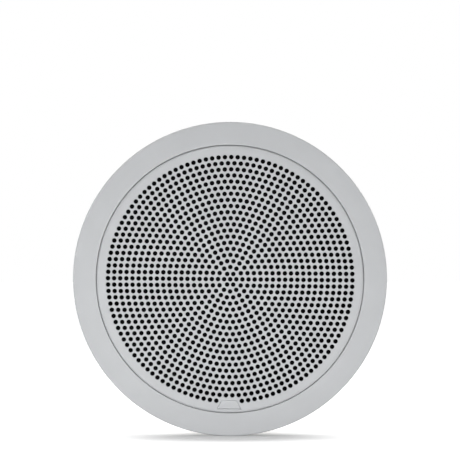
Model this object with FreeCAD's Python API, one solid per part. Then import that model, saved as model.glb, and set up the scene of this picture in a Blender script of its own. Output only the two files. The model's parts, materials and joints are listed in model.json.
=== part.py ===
import FreeCAD, Part

import math
import os

from FreeCAD import Vector

# Round flush-mounted ceiling speaker: a moulded frame with a perforated grille in its mouth,
# a full-range driver behind it, a line transformer, a terminal block and three screw clamps.
# Millimetres. The speaker axis is Y, the grille faces -Y, and Y = 0 is the back of the flange,
# which lies against the ceiling board. Angles run anticlockwise from +X as seen from the front.

AXIS = Vector(0, 1, 0)
FACING = Vector(0, -1, 0)

# How far a form runs into the one that it is moulded on
fuse_depth = 0.5

# Driver seat, from which the frame grows outwards
driver_radius = 62.5
seat_clearance = 0.5
ring_wall = 1.6
ring_height = 3.0
seat_width = 8.0

# Frame
ledge_width = 3.5
ledge_depth = 1.0
well_depth = 3.5
web_thickness = 2.5
collar_wall = 2.2
collar_depth = 10.0
collar_chamfer = 0.8
flange_width = 13.2
flange_thickness = 4.0
flange_crown = 0.4
flange_edge_round = 0.8
mouth_edge_round = 0.4
rib_count = 24
rib_thickness = 1.4
rib_height = 2.2
boss_drop = 0.5
boss_skin = 1.0

# Grille
grille_gap = 0.4
grille_thickness = 2.2
grille_edge_chamfer = 0.8
skirt_thickness = 2.0
hole_pitch = 3.5
hole_radius = 1.25
hole_margin = 5.4
hole_sides = 6
# Every second hole of every second ring is cut, twice as wide, which keeps the open share
hole_step = 2
badge_top_width = 10.0
badge_bottom_width = 14.2
badge_height = 5.2
badge_depth = 0.5
badge_corner = 1.4
badge_drop = 72.4
hook_angles = (30, 150, 270)
hook_width = 6.0
hook_thickness = 1.4
hook_barb = 0.9
hook_barb_height = 1.5
hook_barb_clearance = 0.05
hook_gap = 0.25
scrim_thickness = 0.4
scrim_gap = 0.6

# Driver: basket, cone and suspension
gasket_thickness = 1.4
gasket_width = 6.0
basket_thickness = 1.0
basket_rim = 8.5
shoulder_inset = 2.0
shoulder_depth = 5.1
arm_run = 13.5
spider_seat_depth = 18.1
well_flare = 3.0
foot_inset = 0.5
basket_depth = 25.6
basket_bore = 12.5
window_count = 4
window_arm = 15.0
window_inset = 2.2
driver_screw_inset = 3.7
driver_screw_end_gap = 2.0
surround_lip = 2.4
surround_thickness = 0.6
roll_radius = 4.0
roll_steps = 8
cone_thickness = 0.6
cone_sag = 1.2
curve_steps = 4
cone_neck_depth = 16.2
whizzer_radius = 23.0
whizzer_length = 10.0
whizzer_sag = 1.5
whizzer_lead = 1.6
whizzer_thickness = 0.5
cap_height = 4.2
cap_thickness = 0.4
spider_well_gap = 0.8
spider_inset = 1.5
spider_thickness = 0.6
spider_waves = 4
spider_wave_height = 1.1

# Driver: voice coil and magnet
coil_radius = 10.0
former_thickness = 0.25
winding_thickness = 0.6
winding_length = 8.0
former_length = 18.4
former_lead = 2.0
pole_gap = 0.4
plate_gap = 0.45
top_plate_radius = 27.5
top_plate_thickness = 4.0
magnet_radius = 30.0
magnet_bore = 15.0
magnet_height = 10.0
back_plate_thickness = 4.0
edge_chamfer = 0.6

# Driver: solder tags and flexible leads
lug_inset = 6.5
lug_overlap = 4.0
lug_width = 15.0
lug_depth = 11.6
tag_board_thickness = 1.2
tag_board_length = 10.0
tag_spacing = 9.0
tag_length = 14.0
tag_width = 3.0
tag_thickness = 0.6
tinsel_radius = 0.5

# Screw clamps
clamp_angles = (90, 210, 330)
clamp_screw_radius = 2.0
clamp_hole_clearance = 0.3
clamp_head_radius = 3.8
clamp_head_height = 2.5
clamp_head_clearance = 0.6
clamp_travel = 20.0
clamp_tip = 3.0
board_gap = 1.0
dog_hub_radius = 3.9
dog_height = 10.0
dog_reach = 20.5
dog_arm_half_width = 3.6
dog_arm_thickness = 4.0
dog_lip_height = 2.0
dog_lip_length = 4.0
dog_lip_setback = 0.5
dog_web_thickness = 2.0
dog_web_setback = 1.5
dog_bore_clearance = 0.05
hub_gap = 0.4
retainer_thickness = 0.8
retainer_gap = 0.3
retainer_radius = 3.6
stop_gap = 0.4
stop_wall = 1.8
tower_margin = 1.0
thrust_pad_height = 1.5

# Transformer and its bracket plate
post_radius = 3.5
post_height = 23.0
post_spread = 27.0
post_gap = 2.2
pilot_depth = 10.0
plate_thickness = 1.2
plate_post_margin = 5.1
plate_core_margin = 3.0
plate_end_margin = 2.4
plate_corner = 4.0
core_width = 41.0
core_height = 34.0
core_stack = 14.0
core_leg = 13.0
core_window = 7.0
core_post_offset = 9.9
bobbin_wall = 0.8
bobbin_clearance = 0.2
winding_inset = 0.6
winding_corner = 3.0
strap_thickness = 1.0
strap_foot = 9.0
strap_gap = 0.1
rivet_inset = 0.5
rivet_clearance = 0.1
rivet_head = 1.2

# Terminal block
terminal_ring_gap = 1.1
terminal_post_radius = 2.8
terminal_post_height = 6.0
terminal_pitch = 12.0
terminal_count = 3
terminal_tower = 6.5
terminal_width = 16.0
terminal_base = 3.0
terminal_height = 14.0
terminal_entry = 3.6
terminal_insert_wall = 0.6
terminal_insert_inset = 2.0
terminal_screw_radius = 1.45
terminal_screw_spread = 3.2
terminal_screw_inset = 0.8
terminal_screw_drop = 1.0
terminal_slot_depth = 0.9
terminal_slot_width = 0.7

# Fixing screws and hook-up wire
screw_radius = 1.2
screw_head_radius = 2.6
screw_head_height = 2.0
screw_length = 9.0
screw_hole_clearance = 0.4
pilot_clearance = 0.05
wire_radius = 0.9

# Radii that follow, from the driver outwards
ring_inner = driver_radius + seat_clearance
ring_outer = ring_inner + ring_wall
clamp_circle = ring_outer + hub_gap + dog_hub_radius
well_radius = clamp_circle + clamp_head_radius + clamp_head_clearance
opening_radius = well_radius + ledge_width
grille_radius = opening_radius - grille_gap
collar_radius = opening_radius + collar_wall
flange_radius = opening_radius + flange_width
skirt_inner = grille_radius - skirt_thickness
driver_screw_circle = driver_radius - driver_screw_inset
driver_opening = driver_radius - seat_width
basket_mouth = driver_radius - basket_rim
basket_shoulder = basket_mouth - shoulder_inset
basket_ledge = basket_shoulder - arm_run
basket_foot = top_plate_radius - foot_inset
basket_well = basket_foot + well_flare
lug_radius = driver_radius - lug_inset
roll_outer = basket_mouth - 0.5 * surround_thickness
roll_inner = roll_outer - 2 * roll_radius
former_outer = coil_radius + former_thickness
terminal_radius = ring_outer + terminal_ring_gap + terminal_post_radius
pilot_radius = screw_radius + pilot_clearance
screw_hole_radius = screw_radius + screw_hole_clearance

# Distances below the speaker axis that follow
post_drop = math.sqrt((ring_outer + post_gap + post_radius) ** 2 - post_spread ** 2)
core_drop = post_drop - core_post_offset
plate_inner_drop = core_drop - core_stack / 2 - plate_core_margin
plate_outer_drop = post_drop + plate_post_margin
plate_half_width = core_width / 2 + strap_gap + strap_thickness + strap_foot + plate_end_margin

# Depths that follow, from the front backwards
grille_front = -flange_thickness
grille_back = grille_front + grille_thickness
web_front = ledge_depth + well_depth
web_rear = web_front + web_thickness
driver_front = web_rear + gasket_thickness
basket_floor = driver_front + basket_depth
motor_front = basket_floor + basket_thickness
magnet_front = motor_front + top_plate_thickness
magnet_rear = magnet_front + magnet_height
spider_seat = driver_front + spider_seat_depth
cone_neck = driver_front + cone_neck_depth
former_front = cone_neck - former_lead
dog_rest = collar_depth + board_gap + clamp_travel
dog_rear = dog_rest + dog_height
tower_rear = dog_rear + tower_margin
plate_front = web_rear + post_height
plate_rear = plate_front + plate_thickness
terminal_front = web_rear + terminal_post_height
terminal_middle = terminal_front + terminal_base + 0.4 * (terminal_height - terminal_base)
terminal_floor = terminal_middle - terminal_entry / 2


def polar(radius, angle):
    """X and Z of a point on a circle round the speaker axis."""
    turn = math.radians(angle)
    return radius * math.cos(turn), radius * math.sin(turn)


def turned(outline, sweep=360, start=0):
    """A closed outline of (radius, depth) points, turned round the speaker axis."""
    corners = [Vector(r, y, 0) for r, y in outline]
    solid = Part.Face(Part.makePolygon(corners + corners[:1])).revolve(Vector(), FACING, sweep)
    solid.rotate(Vector(), FACING, start)
    return solid


def thin_shell(path, thickness):
    """A sheet turned round the axis: a path of (radius, depth) points, thickened along Y."""
    return turned(path + [(r, y + thickness) for r, y in path[::-1]])


def bowed(start, end, sag):
    """Points from start to end along a shallow curve, bowed by sag towards the rear."""
    points = []
    for k in range(curve_steps + 1):
        share = k / curve_steps
        bow = 4 * sag * share * (1 - share)
        points.append((start[0] + share * (end[0] - start[0]), start[1] + share * (end[1] - start[1]) + bow))
    return points


def half_roll(middle, base, radius, way):
    """Points of a half circle standing forward of a base line, from its inner edge (way 1) or its outer."""
    points = []
    for k in range(roll_steps + 1):
        turn = math.pi * k / roll_steps
        points.append((middle - way * radius * math.cos(turn), base - radius * math.sin(turn)))
    return points


def peg(radius, front, rear, x=0, z=0):
    """A round bar along Y."""
    return Part.makeCylinder(radius, rear - front, Vector(x, front, z), AXIS)


def block(x0, x1, y0, y1, z0, z1):
    return Part.makeBox(x1 - x0, y1 - y0, z1 - z0, Vector(x0, y0, z0))


def at_angle(shape, angle):
    """A copy turned round the speaker axis."""
    copy = shape.copy()
    copy.rotate(Vector(), FACING, angle)
    return copy


def circle_edges(solid, radius, depth):
    """The edges of a turned solid that lie at one radius and depth."""
    found = []
    for edge in solid.Edges:
        if not isinstance(edge.Curve, Part.Circle):
            continue
        same = abs(edge.Curve.Radius - radius) < 1e-6 and abs(edge.Curve.Center.y - depth) < 1e-6
        if same and Vector(edge.Curve.Center.x, 0, edge.Curve.Center.z).Length < 1e-6:
            found.append(edge)
    return found


def edges_along_y(solid):
    return [e for e in solid.Edges if abs(e.tangentAt(e.FirstParameter).y) > 0.999]


def pan_screw(x, z, seat, head_radius, head_height, radius, length, way=1):
    """A pan-head screw whose shank runs from its seat along Y (way 1) or against it (way -1)."""
    outline = [
        (0, -head_height),
        (0.55 * head_radius, -head_height),
        (head_radius, -0.45 * head_height),
        (head_radius, 0),
        (radius, 0),
        (radius, length - radius),
        (0.3 * radius, length),
        (0, length),
    ]
    body = turned(outline)
    slot_half, slot_depth = 0.14 * head_radius, 0.5 * head_height
    for across in (0, 90):
        slot = block(-0.6 * head_radius, 0.6 * head_radius, -head_height, slot_depth - head_height,
                     -slot_half, slot_half)
        slot.rotate(Vector(), AXIS, across)
        body = body.cut(slot)
    if way < 0:
        body.rotate(Vector(), Vector(1, 0, 0), 180)
    body.translate(Vector(x, seat, z))
    return body


def clamp_tower():
    """Inner wall and stop wall of one clamp guide, standing at angle zero."""
    stop_far = dog_hub_radius + stop_gap + stop_wall
    half_angle = math.degrees(stop_far / ring_outer)
    inner = turned([(ring_inner, web_rear), (ring_outer, web_rear), (ring_outer, tower_rear),
                    (ring_inner, tower_rear)], 2 * half_angle, -half_angle)
    corners = [(ring_inner + 0.5 * ring_wall, web_rear), (opening_radius, web_rear),
               (opening_radius, collar_depth), (clamp_circle + dog_hub_radius, tower_rear),
               (ring_inner + 0.5 * ring_wall, tower_rear)]
    side = [Vector(r, y, -stop_far) for r, y in corners]
    stop = Part.Face(Part.makePolygon(side + side[:1])).extrude(Vector(0, 0, stop_wall))
    pad = peg(clamp_screw_radius + clamp_hole_clearance + ring_wall, web_rear,
              web_rear + thrust_pad_height, clamp_circle, 0)
    return inner.fuse([stop, pad])


def frame_ring():
    """The moulded ring: flange, collar, grille ledge, driver web and locating ring."""
    ring = turned([
        (opening_radius, grille_front),
        (flange_radius, grille_front + flange_crown),
        (flange_radius, 0),
        (collar_radius, 0),
        (collar_radius, collar_depth),
        (opening_radius, collar_depth),
        (opening_radius, web_rear),
        (ring_outer, web_rear),
        (ring_outer, web_rear + ring_height),
        (ring_inner, web_rear + ring_height),
        (ring_inner, web_rear),
        (driver_opening, web_rear),
        (driver_opening, web_front),
        (well_radius, web_front),
        (well_radius, ledge_depth),
        (opening_radius, ledge_depth),
    ])
    ring = ring.makeFillet(flange_edge_round,
                           circle_edges(ring, flange_radius, grille_front + flange_crown))
    ring = ring.makeFillet(mouth_edge_round, circle_edges(ring, opening_radius, grille_front))
    return ring.makeChamfer(collar_chamfer, circle_edges(ring, collar_radius, collar_depth))


def driver_screw_places():
    return [polar(driver_screw_circle, 45 + 90 * k) for k in range(4)]


def transformer_post_places():
    return [(side * post_spread, -post_drop) for side in (-1, 1)]


def terminal_post_places():
    return [(-terminal_radius, side * terminal_pitch / 2) for side in (-1, 1)]


def mounting_frame():
    """Frame ring with its ribs, bosses, posts and clamp towers, drilled for its screws."""
    boss_front = ledge_depth + boss_drop
    added = []
    rib = block(ring_outer - 0.5 * ring_wall, opening_radius + 0.5 * collar_wall, web_rear - fuse_depth,
                web_rear + rib_height, -rib_thickness / 2, rib_thickness / 2)
    for k in range(rib_count):
        added.append(at_angle(rib, (k + 0.5) * 360 / rib_count))
    for x, z in driver_screw_places():
        added.append(peg(post_radius, boss_front, web_front + fuse_depth, x, z))
    for x, z in transformer_post_places():
        added.append(peg(post_radius, web_rear - fuse_depth, plate_front, x, z))
    for x, z in terminal_post_places():
        added.append(peg(terminal_post_radius, web_rear - fuse_depth, terminal_front, x, z))
    for angle in clamp_angles:
        added.append(at_angle(clamp_tower(), angle))
    frame = frame_ring().multiFuse(added)

    removed = []
    for x, z in driver_screw_places():
        removed.append(peg(pilot_radius, boss_front + boss_skin, web_rear + 1, x, z))
    for x, z in transformer_post_places():
        removed.append(peg(pilot_radius, plate_front - pilot_depth, plate_front + 1, x, z))
    for x, z in terminal_post_places():
        removed.append(peg(pilot_radius, web_front + 1, terminal_front + 1, x, z))
    for angle in clamp_angles:
        x, z = polar(clamp_circle, angle)
        removed.append(peg(clamp_screw_radius + clamp_hole_clearance, web_front - 1,
                           web_rear + thrust_pad_height + 1, x, z))
    slot = block(skirt_inner - hook_gap, skirt_inner + hook_thickness + hook_gap, ledge_depth - 1,
                 web_rear + 1, -hook_width / 2 - hook_gap, hook_width / 2 + hook_gap)
    for angle in hook_angles:
        removed.append(at_angle(slot, angle))
    return frame.cut(removed).removeSplitter()


def perforation():
    """Prisms for the grille's holes: a centre hole and rings of six, twelve, eighteen and so on."""
    pitch = hole_pitch * hole_step
    # A regular polygon of the round hole's area
    area_share = math.pi / (0.5 * hole_sides * math.sin(2 * math.pi / hole_sides))
    corner_radius = hole_radius * hole_step * math.sqrt(area_share)
    rings = int((grille_radius - hole_margin) / pitch)
    badge_top = badge_height / 2 - badge_drop
    prisms = []
    for ring in range(rings + 1):
        for k in range(max(1, 6 * ring)):
            angle = k * 60 / ring if ring else 0
            x, z = polar(ring * pitch, angle)
            if abs(x) < badge_bottom_width / 2 + corner_radius and z < badge_top + corner_radius:
                continue
            corners = [polar(corner_radius, angle + j * 360 / hole_sides) for j in range(hole_sides + 1)]
            outline = Part.makePolygon([Vector(x + dx, grille_front - 1, z + dz) for dx, dz in corners])
            prisms.append(Part.Face(outline).extrude(AXIS * (grille_thickness + 2)))
    return prisms


def badge_recess():
    """Plain shallow recess below the holes, wider at the bottom and rounded at its top corners."""
    low, high = -badge_drop - badge_height / 2, -badge_drop + badge_height / 2
    corners = [(-badge_bottom_width / 2, low), (badge_bottom_width / 2, low), (badge_top_width / 2, high),
               (-badge_top_width / 2, high)]
    outline = Part.makePolygon([Vector(x, grille_front - 1, z) for x, z in corners + corners[:1]])
    recess = Part.Face(outline).extrude(AXIS * (badge_depth + 1))
    upper = [e for e in edges_along_y(recess) if e.Vertexes[0].Z > -badge_drop]
    return recess.makeFillet(badge_corner, upper)


def grille():
    """Perforated disc with a skirt that stands on the frame's ledge and hooks that pass through it."""
    disc = turned([(0, grille_front), (grille_radius, grille_front), (grille_radius, ledge_depth),
                   (skirt_inner, ledge_depth), (skirt_inner, grille_back), (0, grille_back)])
    disc = disc.makeChamfer(grille_edge_chamfer, circle_edges(disc, grille_radius, grille_front))
    barb_front, barb_rear = web_rear + hook_barb_clearance, web_rear + hook_barb_height
    leg = block(skirt_inner, skirt_inner + hook_thickness, ledge_depth - fuse_depth, barb_rear,
                -hook_width / 2, hook_width / 2)
    side = [Vector(skirt_inner + 0.5 * hook_thickness, barb_front, -hook_width / 2),
            Vector(skirt_inner + hook_thickness + hook_barb, barb_front, -hook_width / 2),
            Vector(skirt_inner + hook_thickness, barb_rear, -hook_width / 2),
            Vector(skirt_inner + 0.5 * hook_thickness, barb_rear, -hook_width / 2)]
    barb = Part.Face(Part.makePolygon(side + side[:1])).extrude(Vector(0, 0, hook_width))
    hook = leg.fuse(barb)
    disc = disc.multiFuse([at_angle(hook, angle) for angle in hook_angles])
    return disc.cut([badge_recess()] + perforation())


def scrim():
    """Black cloth disc glued to the back of the grille."""
    return peg(skirt_inner - scrim_gap, grille_back, grille_back + scrim_thickness)


def gasket():
    inner = driver_radius - gasket_width
    ring = turned([(inner, web_rear), (driver_radius, web_rear), (driver_radius, driver_front),
                   (inner, driver_front)])
    return ring.cut([peg(screw_hole_radius, web_rear - 1, driver_front + 1, x, z)
                     for x, z in driver_screw_places()])


def basket_path():
    """Front face of the basket's pressed sheet, as (radius, depth) corners."""
    return [
        (driver_radius, driver_front),
        (basket_mouth, driver_front),
        (basket_shoulder, driver_front + shoulder_depth),
        (basket_ledge, spider_seat),
        (basket_well, spider_seat),
        (basket_foot, basket_floor),
        (basket_bore, basket_floor),
    ]


def sheet_back(path, thickness):
    """The path of a sheet's other face: each corner moved by the mitre of its two runs."""
    moved = []
    for i, (r, y) in enumerate(path):
        normals = []
        for a, b in ((i - 1, i), (i, i + 1)):
            if 0 <= a and b < len(path):
                dr, dy = path[b][0] - path[a][0], path[b][1] - path[a][1]
                size = math.hypot(dr, dy)
                normals.append((dy / size, -dr / size))
        nr = sum(n[0] for n in normals) / len(normals)
        ny = sum(n[1] for n in normals) / len(normals)
        stretch = thickness / (nr * nr + ny * ny)
        moved.append((r + nr * stretch, y + ny * stretch))
    return moved


def basket():
    """Pressed steel basket with windows between its arms and a lug for the tag board."""
    path = basket_path()
    shell = turned(path + sheet_back(path, basket_thickness)[::-1])
    # Windows run down the slope between shoulder and spider ledge, and leave an arm between each pair
    shoulder, ledge = path[2], path[3]
    slope = math.hypot(shoulder[0] - ledge[0], ledge[1] - shoulder[1])
    along = ((ledge[0] - shoulder[0]) / slope, (ledge[1] - shoulder[1]) / slope)
    across = (along[1], -along[0])
    reach = 4 * basket_thickness
    corners = []
    for step, side in ((window_inset, -1), (window_inset, 1), (slope - window_inset, 1),
                       (slope - window_inset, -1)):
        corners.append((shoulder[0] + along[0] * step + across[0] * reach * side,
                        shoulder[1] + along[1] * step + across[1] * reach * side))
    arm_angle = math.degrees(window_arm / basket_ledge)
    sweep = 360 / window_count - arm_angle
    windows = [turned(corners, sweep, k * 360 / window_count + arm_angle / 2) for k in range(window_count)]
    holes = [peg(screw_hole_radius, driver_front - 1, driver_front + basket_thickness + 1, x, z)
             for x, z in driver_screw_places()]
    lug_front = driver_front + lug_depth
    lug = block(basket_ledge + lug_overlap, lug_radius, lug_front, lug_front + basket_thickness,
                -lug_width / 2, lug_width / 2)
    cone_side = turned([(0, driver_front), path[1], path[2], path[3], (0, spider_seat)])
    return shell.cut(windows + holes).fuse(lug.cut(cone_side)).removeSplitter()


def cone_line():
    """Front face of the cone: its neck, and the two ends of its flat rim."""
    top = driver_front - surround_thickness
    edge = roll_inner - surround_thickness / 2
    return (former_outer, cone_neck), (edge - surround_lip, top), (edge, top)


def cone():
    """Paper cone from the coil former out to the surround."""
    neck, rim_start, rim_end = cone_line()
    return thin_shell(bowed(neck, rim_start, cone_sag) + [rim_end], cone_thickness)


def cone_rear(radius):
    """Depth of the cone's rear face at a radius."""
    neck, rim_start, _ = cone_line()
    share = (radius - neck[0]) / (rim_start[0] - neck[0])
    bow = 4 * cone_sag * share * (1 - share)
    return neck[1] + share * (rim_start[1] - neck[1]) + bow + cone_thickness


def whizzer():
    """Small inner cone for the treble."""
    neck = (former_outer, cone_neck - whizzer_lead)
    rim = (whizzer_radius, neck[1] - whizzer_length)
    return thin_shell(bowed(neck, rim, whizzer_sag), whizzer_thickness)


def dust_cap():
    """Domed cap that closes the front of the coil former."""
    base = former_front - cap_thickness
    path = []
    for k in range(curve_steps + 1):
        radius = former_outer * k / curve_steps
        path.append((radius, base - cap_height * (1 - (radius / former_outer) ** 2)))
    return thin_shell(path, cap_thickness)


def surround():
    """Half-roll edge with one lip glued to the cone's rim and one to the basket."""
    middle = (roll_outer + roll_inner) / 2
    top = driver_front - surround_thickness
    outer_roll, inner_roll = roll_radius + surround_thickness / 2, roll_radius - surround_thickness / 2
    inner_lip = middle - roll_radius - surround_lip
    outer_lip = middle + roll_radius + surround_lip
    under = half_roll(middle, top, inner_roll, 1)
    over = half_roll(middle, top - surround_thickness, outer_roll, -1)
    return turned([(inner_lip, top)] + under + [
        (middle + inner_roll, driver_front),
        (outer_lip, driver_front),
        (outer_lip, top),
        (middle + outer_roll, top),
    ] + over + [(inner_lip, top - surround_thickness)])


def spider():
    """Corrugated cloth disc that centres the coil."""
    flat = spider_seat - spider_thickness
    outer = basket_ledge - spider_inset
    start = former_outer + spider_inset
    lip = basket_well - spider_well_gap
    wave = (lip - start) / (2 * spider_waves)
    path = [(former_outer, flat)]
    for k in range(2 * spider_waves):
        rise = spider_wave_height if k % 2 else -spider_wave_height
        path.append((start + k * wave, flat))
        path.append((start + (k + 0.35) * wave, flat + rise))
        path.append((start + (k + 0.65) * wave, flat + rise))
    return thin_shell(path + [(lip, flat), (outer, flat)], spider_thickness)


def voice_coil_former():
    return turned([(coil_radius, former_front), (former_outer, former_front),
                   (former_outer, former_front + former_length), (coil_radius, former_front + former_length)])


def voice_coil():
    rear = former_front + former_length
    outer = former_outer + winding_thickness
    return turned([(former_outer, rear - winding_length), (outer, rear - winding_length), (outer, rear),
                   (former_outer, rear)])


def top_plate():
    bore = former_outer + winding_thickness + plate_gap
    plate = turned([(bore, motor_front), (top_plate_radius, motor_front), (top_plate_radius, magnet_front),
                    (bore, magnet_front)])
    return plate.makeChamfer(edge_chamfer, circle_edges(plate, top_plate_radius, motor_front))


def magnet():
    ring = turned([(magnet_bore, magnet_front), (magnet_radius, magnet_front), (magnet_radius, magnet_rear),
                   (magnet_bore, magnet_rear)])
    rims = circle_edges(ring, magnet_radius, magnet_front) + circle_edges(ring, magnet_radius, magnet_rear)
    return ring.makeChamfer(edge_chamfer, rims)


def pole_yoke():
    """Back plate and centre pole, forged as one."""
    pole = coil_radius - pole_gap
    rear = magnet_rear + back_plate_thickness
    yoke = turned([(0, motor_front), (pole, motor_front), (pole, magnet_rear),
                   (top_plate_radius, magnet_rear), (top_plate_radius, rear), (0, rear)])
    rims = circle_edges(yoke, top_plate_radius, rear) + circle_edges(yoke, pole, motor_front)
    return yoke.makeChamfer(edge_chamfer, rims)


def driver_screws():
    seat = driver_front + basket_thickness
    length = seat - ledge_depth - driver_screw_end_gap
    return Part.makeCompound([pan_screw(x, z, seat, screw_head_radius, screw_head_height, screw_radius,
                                        length, -1) for x, z in driver_screw_places()])


def tag_depth():
    """Depth of the tag board's face away from the cone."""
    return driver_front + lug_depth + basket_thickness + tag_board_thickness


def tag_board():
    rear = tag_depth()
    return block(lug_radius - tag_board_length, lug_radius, rear - tag_board_thickness, rear, -lug_width / 2,
                 lug_width / 2)


def solder_tag(side):
    """Brass tag on the board, with an eye for the hook-up wire at its outer end."""
    front = tag_depth()
    middle = side * tag_spacing / 2
    far = lug_radius - tag_board_length + tag_length
    strip = block(far - tag_length, far, front, front + tag_thickness, middle - tag_width / 2,
                  middle + tag_width / 2)
    tip = [e for e in edges_along_y(strip) if abs(e.Vertexes[0].X - far) < 1e-6]
    strip = strip.makeFillet(0.45 * tag_width, tip)
    return strip.cut(peg(0.3 * tag_width, front - 1, front + 2, far - 0.5 * tag_width, middle))


def wire_run(points, radius):
    """A round wire along straight runs joined by tangent arcs as large as the runs allow."""
    corners = [Vector(*p) for p in points]
    edges, at = [], corners[0]
    for before, corner, after in zip(corners, corners[1:], corners[2:]):
        towards, away = (before - corner), (after - corner)
        shorter = min(towards.Length, away.Length)
        towards.normalize()
        away.normalize()
        half_turn = (math.pi - towards.getAngle(away)) / 2
        bend = 0.45 * shorter / math.tan(half_turn)
        set_back = bend * math.tan(half_turn)
        start, end = corner + towards * set_back, corner + away * set_back
        inward = towards + away
        inward.normalize()
        middle = corner + inward * (bend / math.cos(half_turn) - bend)
        edges.append(Part.makeLine(at, start))
        edges.append(Part.Arc(start, middle, end).toShape())
        at = end
    edges.append(Part.makeLine(at, corners[-1]))
    path = Part.Wire(edges)
    section = Part.Wire([Part.makeCircle(radius, corners[0], corners[1] - corners[0])])
    return path.makePipeShell([section], True, True)


def tinsel_lead(side):
    """Flexible lead from a solder tag, past the basket arm, to the back of the cone."""
    y = tag_depth() + tag_thickness + tinsel_radius
    x = lug_radius - tag_board_length
    z = side * tag_spacing / 2
    x_end, z_end = x - 23.0, z + side
    return wire_run([
        (x + 1.5, y, z),
        (x + 0.5, y + 0.3, z + side * 4.5),
        (x - 5.0, y - 0.5, z + side * 7.5),
        (x - 12.0, y - 2.5, z + side * 7.0),
        (x_end, y - 0.5, z_end + side),
        (x_end, cone_rear(math.hypot(x_end, z_end)) + 1.2 * tinsel_radius, z_end),
    ], tinsel_radius)


def clamp_screw(angle):
    x, z = polar(clamp_circle, angle)
    length = tower_rear + clamp_tip - web_front
    return pan_screw(x, z, web_front, clamp_head_radius, clamp_head_height, clamp_screw_radius, length)


def clamp_retainer(angle):
    """Push-on ring that keeps the dog from running off its screw."""
    x, z = polar(clamp_circle, angle)
    front = dog_rear + retainer_gap
    ring = peg(retainer_radius, front, front + retainer_thickness, x, z)
    return ring.cut(peg(clamp_screw_radius, front - 1, front + 2, x, z))


def clamp_dog(angle):
    """Dog-leg arm, parked along the frame inside the ceiling hole."""
    hub = peg(dog_hub_radius, 0, dog_height)
    arm = block(0, dog_reach, dog_lip_height, dog_lip_height + dog_arm_thickness, -dog_arm_half_width,
                dog_arm_half_width)
    tips = [e for e in edges_along_y(arm) if abs(e.Vertexes[0].X - dog_reach) < 1e-6]
    arm = arm.makeFillet(0.4 * dog_arm_half_width, tips)
    lip = block(dog_reach - dog_lip_length, dog_reach - dog_lip_setback, 0, dog_lip_height + fuse_depth,
                -0.8 * dog_arm_half_width, 0.8 * dog_arm_half_width)
    arm_rear = dog_lip_height + dog_arm_thickness
    web_end = dog_reach - dog_web_setback
    side = [Vector(0, arm_rear - fuse_depth, -dog_web_thickness / 2),
            Vector(0, dog_height, -dog_web_thickness / 2),
            Vector(dog_hub_radius, dog_height, -dog_web_thickness / 2),
            Vector(web_end, arm_rear, -dog_web_thickness / 2),
            Vector(web_end, arm_rear - fuse_depth, -dog_web_thickness / 2)]
    web = Part.Face(Part.makePolygon(side + side[:1])).extrude(Vector(0, 0, dog_web_thickness))
    dog = hub.multiFuse([arm, lip, web]).cut(peg(clamp_screw_radius + dog_bore_clearance, -1, dog_height + 1))
    dog = dog.removeSplitter()
    dog.rotate(Vector(), FACING, angle + 90)
    x, z = polar(clamp_circle, angle)
    dog.translate(Vector(x, dog_rest, z))
    return dog


def transformer_bracket():
    """Flat plate on the frame's two posts that carries the transformer."""
    plate = block(-plate_half_width, plate_half_width, plate_front, plate_rear, -plate_outer_drop,
                  -plate_inner_drop)
    plate = plate.makeFillet(plate_corner, edges_along_y(plate))
    places = transformer_post_places() + strap_foot_places()
    return plate.cut([peg(screw_hole_radius, plate_front - 1, plate_rear + 1, x, z) for x, z in places])


def bracket_screws():
    return Part.makeCompound([pan_screw(x, z, plate_rear, screw_head_radius, screw_head_height,
                                        screw_radius, screw_length, -1)
                              for x, z in transformer_post_places()])


def strap_foot_places():
    middle = core_width / 2 + strap_gap + strap_thickness + 0.5 * strap_foot - rivet_inset
    return [(side * middle, -core_drop) for side in (-1, 1)]


def transformer_core():
    """Stack of laminations with a centre leg and two windows."""
    low, high = plate_rear, plate_rear + core_height
    half_stack = core_stack / 2
    yoke = (core_width / 2 - core_leg / 2 - core_window)
    core = block(-core_width / 2, core_width / 2, low, high, -core_drop - half_stack, -core_drop + half_stack)
    windows = []
    for side in (-1, 1):
        near, far = side * core_leg / 2, side * (core_leg / 2 + core_window)
        windows.append(block(min(near, far), max(near, far), low + yoke, high - yoke,
                             -core_drop - core_stack, -core_drop + core_stack))
    return core.cut(windows)


def bobbin_span():
    """Depths between which the bobbin fits in the core's windows."""
    yoke = (core_width / 2 - core_leg / 2 - core_window)
    return plate_rear + yoke + bobbin_clearance, plate_rear + core_height - yoke - bobbin_clearance


def coil_block(low, high, half_width, half_depth):
    return block(-half_width, half_width, low, high, -core_drop - half_depth, -core_drop + half_depth)


def transformer_bobbin():
    """Moulded spool round the centre leg, with a flange at each end."""
    low, high = bobbin_span()
    flange_half = core_leg / 2 + core_window - bobbin_clearance
    flange_depth = core_stack / 2 + core_window
    leg_half = core_leg / 2 + bobbin_clearance
    leg_depth = core_stack / 2 + bobbin_clearance
    spool = coil_block(low, high, leg_half + bobbin_wall, leg_depth + bobbin_wall)
    spool = spool.multiFuse([coil_block(low, low + bobbin_wall, flange_half, flange_depth),
                             coil_block(high - bobbin_wall, high, flange_half, flange_depth)])
    return spool.cut(coil_block(low - 1, high + 1, leg_half, leg_depth)).removeSplitter()


def transformer_winding():
    """Taped winding that fills the bobbin."""
    low, high = bobbin_span()
    half = core_leg / 2 + core_window - bobbin_clearance - winding_inset
    depth = core_stack / 2 + core_window - winding_inset
    leg_half = core_leg / 2 + bobbin_clearance + bobbin_wall
    leg_depth = core_stack / 2 + bobbin_clearance + bobbin_wall
    coil = coil_block(low + bobbin_wall, high - bobbin_wall, half, depth)
    coil = coil.makeFillet(winding_corner, edges_along_y(coil))
    return coil.cut(coil_block(low - 1, high + 1, leg_half, leg_depth))


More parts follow.
